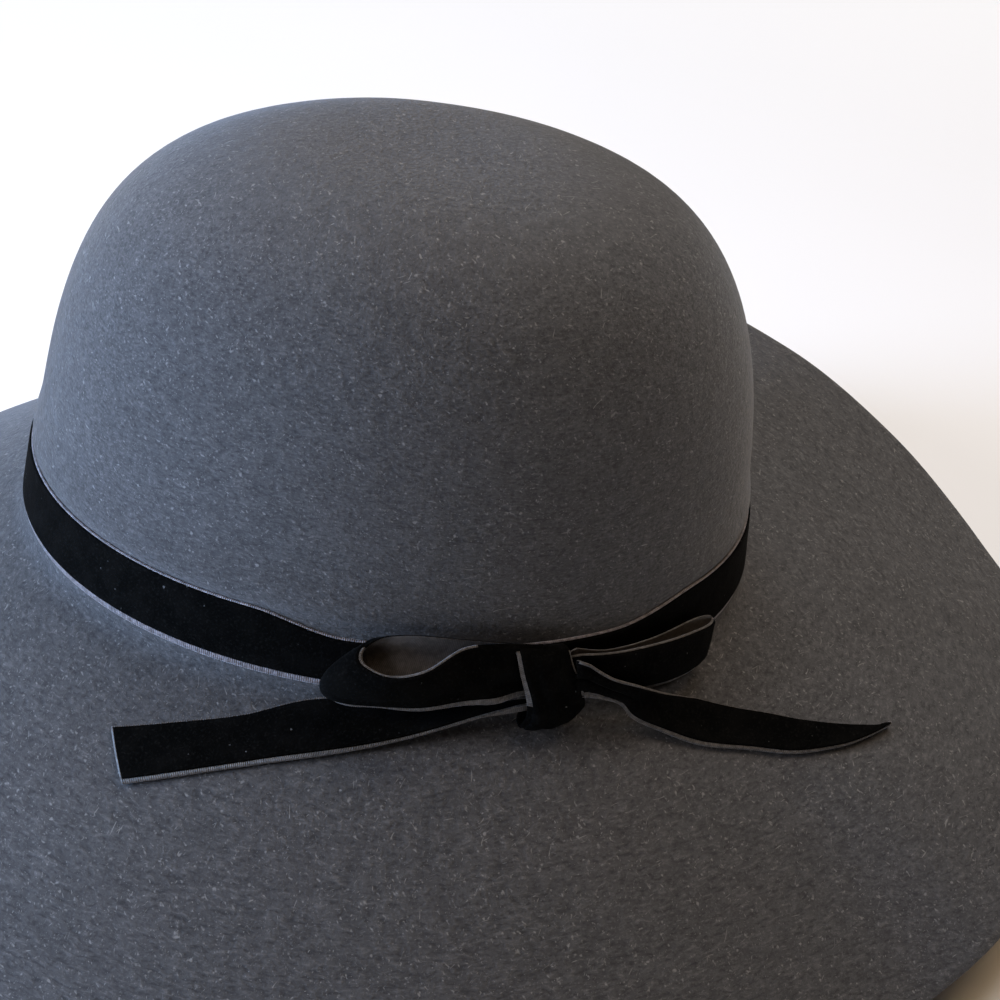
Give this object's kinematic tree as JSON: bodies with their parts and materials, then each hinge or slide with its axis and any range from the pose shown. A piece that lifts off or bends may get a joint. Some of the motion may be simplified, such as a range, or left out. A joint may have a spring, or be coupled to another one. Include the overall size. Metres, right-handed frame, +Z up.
{
  "type": "floppy hat",
  "caption": "Wide-brimmed soft felt hat with a rounded crown and a velvet ribbon tied in a flat side bow.",
  "frame": {"origin": "middle of the underside of the hat's box, on the surface it rests on", "axes": "+X from the hat's front to its back along the crown's long axis, +Z up through the crown; the bow is on the -Y side"},
  "size_m": [0.3964, 0.3584, 0.1781],
  "materials": {
    "grey_felt": "heathered grey pressed wool felt",
    "black_velvet": "black velvet ribbon with a satin back"
  },
  "bodies": {
    "root": {"crown_and_brim": "grey_felt", "ribbon_band": "black_velvet", "bow_loop_left": "black_velvet", "bow_loop_right": "black_velvet", "bow_knot": "black_velvet", "bow_tail_left": "black_velvet", "bow_tail_right": "black_velvet"}
  },
  "joints": []
}
